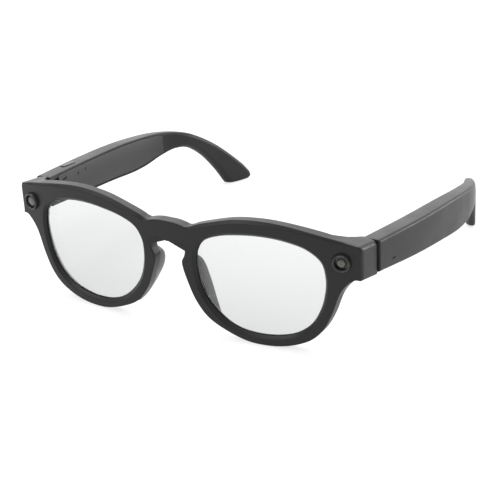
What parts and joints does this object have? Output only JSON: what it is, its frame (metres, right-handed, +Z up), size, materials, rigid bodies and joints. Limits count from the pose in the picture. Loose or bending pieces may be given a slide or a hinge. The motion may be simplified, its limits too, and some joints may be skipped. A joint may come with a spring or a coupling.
{
  "type": "smart glasses",
  "caption": "Plastic-framed smart glasses with clear lenses, a front camera and status light, and folding arms holding battery, speakers, microphones and controls.",
  "frame": {"origin": "centre of the bounding box in X and Y, on the plane the open glasses stand on", "axes": "+X towards the wearer's left, +Y from the front towards the arm tips, +Z up; the glasses lean forward 2.3 degrees, as they do when they stand on their rims and arm tips"},
  "size_m": [0.1586, 0.1502, 0.0484],
  "materials": {
    "frame_plastic": "fine matt, soft sheen",
    "inner_plastic": "fine matt",
    "lens": "clear, polished",
    "bezel": "polished",
    "camera_glass": "dark, coated",
    "camera_housing": "matt",
    "light_window": "smoked, polished",
    "circuit_board": "solder mask",
    "flex_circuit": "film",
    "nose_pad": "smooth, slightly translucent",
    "steel": "brushed",
    "contact_gold": "polished",
    "battery_cell": "foil pouch",
    "speaker_body": "satin",
    "mesh": "fine woven mesh",
    "button_plastic": "satin",
    "switch_plastic": "matt",
    "microphone": "small can",
    "sensor_film": "film",
    "dark_window": "polished"
  },
  "bodies": {
    "front": {"front_frame": "frame_plastic", "brow_cover": "inner_plastic", "left_lens": "lens", "right_lens": "lens", "left_nose_pad": "nose_pad", "right_nose_pad": "nose_pad", "camera_bezel": "bezel", "camera_cover_glass": "camera_glass", "camera_barrel": "camera_housing", "camera_board": "circuit_board", "status_light_bezel": "bezel", "status_light_window": "light_window", "status_light_board": "circuit_board", "left_charging_contact": "contact_gold", "right_charging_contact": "contact_gold", "brow_flex": "flex_circuit", "nose_microphone": "microphone", "left_front_hinge_leaf": "steel", "right_front_hinge_leaf": "steel", "left_hinge_pin": "steel", "right_hinge_pin": "steel"},
    "left_arm": {"left_arm_shell": "frame_plastic", "left_arm_cover": "inner_plastic", "left_arm_hinge_leaf": "steel", "left_hinge_screw_front": "steel", "left_hinge_screw_back": "steel", "left_speaker": "speaker_body", "left_speaker_mesh": "mesh", "left_arm_microphone": "microphone", "left_core_wire": "steel", "battery": "battery_cell", "power_switch_body": "switch_plastic"},
    "right_arm": {"right_arm_shell": "frame_plastic", "right_arm_cover": "inner_plastic", "right_arm_hinge_leaf": "steel", "right_hinge_screw_front": "steel", "right_hinge_screw_back": "steel", "right_speaker": "speaker_body", "right_speaker_mesh": "mesh", "right_arm_microphone": "microphone", "right_core_wire": "steel", "main_board": "circuit_board", "touch_sensor": "sensor_film", "capture_switch": "switch_plastic", "indicator_window": "dark_window", "wear_sensor_window": "dark_window"},
    "shutter": {"capture_button": "button_plastic"},
    "power_knob": {"power_switch_knob": "switch_plastic"}
  },
  "joints": [
    {"name": "left_arm_fold", "type": "hinge", "parent": "front", "child": "left_arm", "pos_m": [0.07, -0.0526, 0.03503], "axis": [0, -0.0325, 0.9995], "range_deg": [0, 88]},
    {"name": "right_arm_fold", "type": "hinge", "parent": "front", "child": "right_arm", "pos_m": [-0.07, -0.0526, 0.03503], "axis": [0, 0.0325, -0.9995], "range_deg": [0, 80]},
    {"name": "capture_button_press", "type": "slide", "parent": "right_arm", "child": "shutter", "axis": [0, 0.0325, -0.9995], "range_m": [0, 0.0004], "stiffness_N_per_m": 1500},
    {"name": "power_switch_slide", "type": "slide", "parent": "left_arm", "child": "power_knob", "axis": [0, 0.9995, 0.0325], "range_m": [0, 0.002]}
  ]
}
